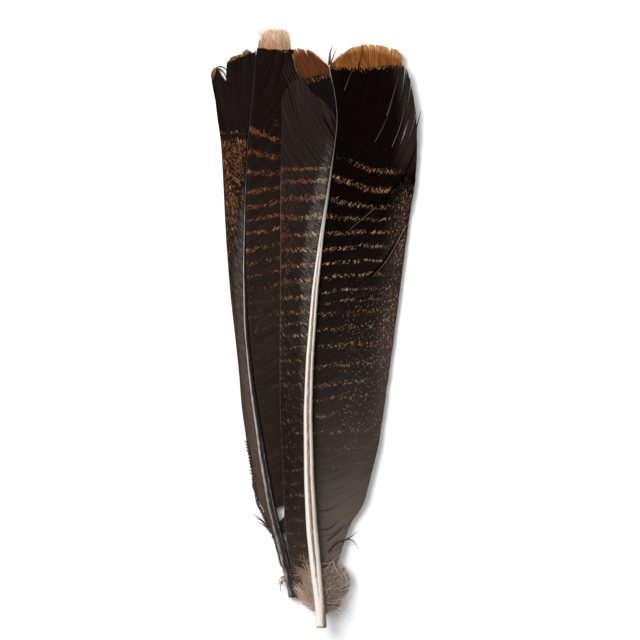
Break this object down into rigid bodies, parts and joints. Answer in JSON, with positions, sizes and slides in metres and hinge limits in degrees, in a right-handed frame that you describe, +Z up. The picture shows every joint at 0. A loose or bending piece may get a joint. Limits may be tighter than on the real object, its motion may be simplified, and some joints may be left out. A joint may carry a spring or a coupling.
{
  "type": "quill feather pair",
  "caption": "Two barred tail feather quills, cut square and laid one across the other: hollow barrel, grooved shaft, split vanes and down at the base, ready to cut into pens.",
  "frame": {"origin": "centre of the pair's plan box, on the surface that the pair lies on", "axes": "+Y along the feathers from the cut quills to the tips, +X across them to the right, +Z up from the surface"},
  "size_m": [0.1204, 0.3418, 0.0145],
  "materials": {
    "dark_quill": "smooth dark horn, satin",
    "cream_quill": "smooth cream horn, glossy",
    "pith": "dry foam-like pith",
    "pulp": "dried translucent membrane",
    "dark_face_vane": "feather vane, rufous bars on black-brown",
    "under_face_vane": "feather vane, greyer under face",
    "buff_barbs": "soft buff barb ends",
    "down": "loose taupe down"
  },
  "bodies": {
    "lower_feather": {"lower_barrel": "dark_quill", "lower_pulp_caps": "pulp", "lower_shaft": "dark_quill", "lower_pith": "pith", "lower_outer_vane": "dark_face_vane", "lower_outer_tip": "dark_face_vane", "lower_tip_curl": "dark_face_vane", "lower_inner_vane": "dark_face_vane", "lower_inner_tip": "dark_face_vane", "lower_buff_tip": "buff_barbs", "lower_base_tuft": "down", "lower_broken_barbs": "dark_face_vane"},
    "upper_feather": {"upper_barrel": "cream_quill", "upper_pulp_caps": "pulp", "upper_shaft": "cream_quill", "upper_pith": "pith", "upper_narrow_vane": "under_face_vane", "upper_narrow_tip": "under_face_vane", "upper_wide_base_clump": "under_face_vane", "upper_wide_middle_clump": "under_face_vane", "upper_wide_outer_clump": "under_face_vane", "upper_wide_slit_clump": "under_face_vane", "upper_wide_inner_clump": "under_face_vane", "upper_left_fluff": "down", "upper_right_fluff": "down", "upper_loose_barbs": "under_face_vane"}
  },
  "joints": [
    {"name": "upper_feather_lift", "type": "slide", "parent": "lower_feather", "child": "upper_feather", "axis": [0, 0, 1], "range_m": [0, 0.12]}
  ]
}
